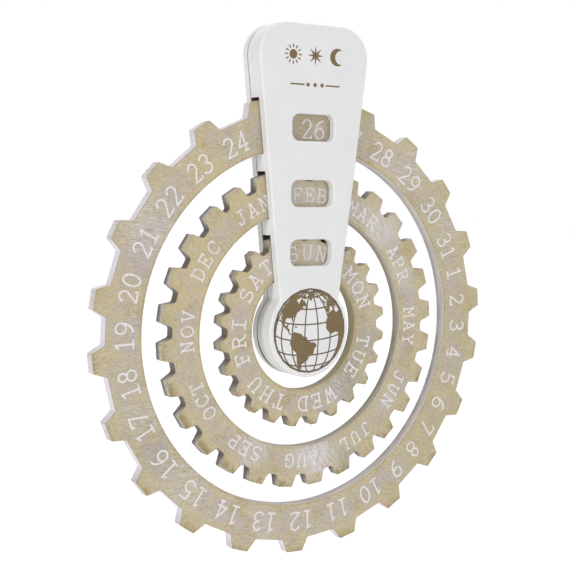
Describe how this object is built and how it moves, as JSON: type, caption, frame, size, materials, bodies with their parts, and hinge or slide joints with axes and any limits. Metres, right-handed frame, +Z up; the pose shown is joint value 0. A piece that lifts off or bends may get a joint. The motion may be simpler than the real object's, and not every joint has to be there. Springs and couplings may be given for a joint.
{
  "type": "perpetual wall calendar",
  "caption": "White tapered arm with a round foot and windows, and toothed wooden rings of dates, months and weekdays that turn through slots in it.",
  "frame": {"origin": "centre of the dial, on the plane of the wall", "axes": "+X to the viewer's right, +Y into the wall, +Z up"},
  "size_m": [0.2344, 0.017, 0.2698],
  "materials": {
    "white_paint": "satin white paint on wood",
    "washed_wood": "whitewashed birch, matt",
    "plated_steel": "zinc plated",
    "pale_lettering": "matt printed ink",
    "brown_print": "matt printed ink"
  },
  "bodies": {
    "arm": {"front_block": "white_paint", "back_plate": "white_paint", "hanger_plate": "plated_steel", "assembly_screw_1": "plated_steel", "assembly_screw_2": "plated_steel", "assembly_screw_3": "plated_steel", "assembly_screw_4": "plated_steel", "assembly_screw_5": "plated_steel", "assembly_screw_6": "plated_steel", "assembly_screw_7": "plated_steel", "assembly_screw_8": "plated_steel", "hanger_screw_1": "plated_steel", "hanger_screw_2": "plated_steel"},
    "date_dial": {"date_ring": "washed_wood"},
    "month_dial": {"month_ring": "washed_wood"},
    "weekday_dial": {"weekday_ring": "washed_wood"}
  },
  "joints": [
    {"name": "date_turn", "type": "hinge", "parent": "arm", "child": "date_dial", "pos_m": [0, -0.0087, 0], "axis": [0, -1, 0], "continuous": true},
    {"name": "month_turn", "type": "hinge", "parent": "arm", "child": "month_dial", "pos_m": [0, -0.0087, -0.0009], "axis": [0, -1, 0], "continuous": true},
    {"name": "weekday_turn", "type": "hinge", "parent": "arm", "child": "weekday_dial", "pos_m": [0, -0.0087, -0.0009], "axis": [0, -1, 0], "continuous": true}
  ]
}
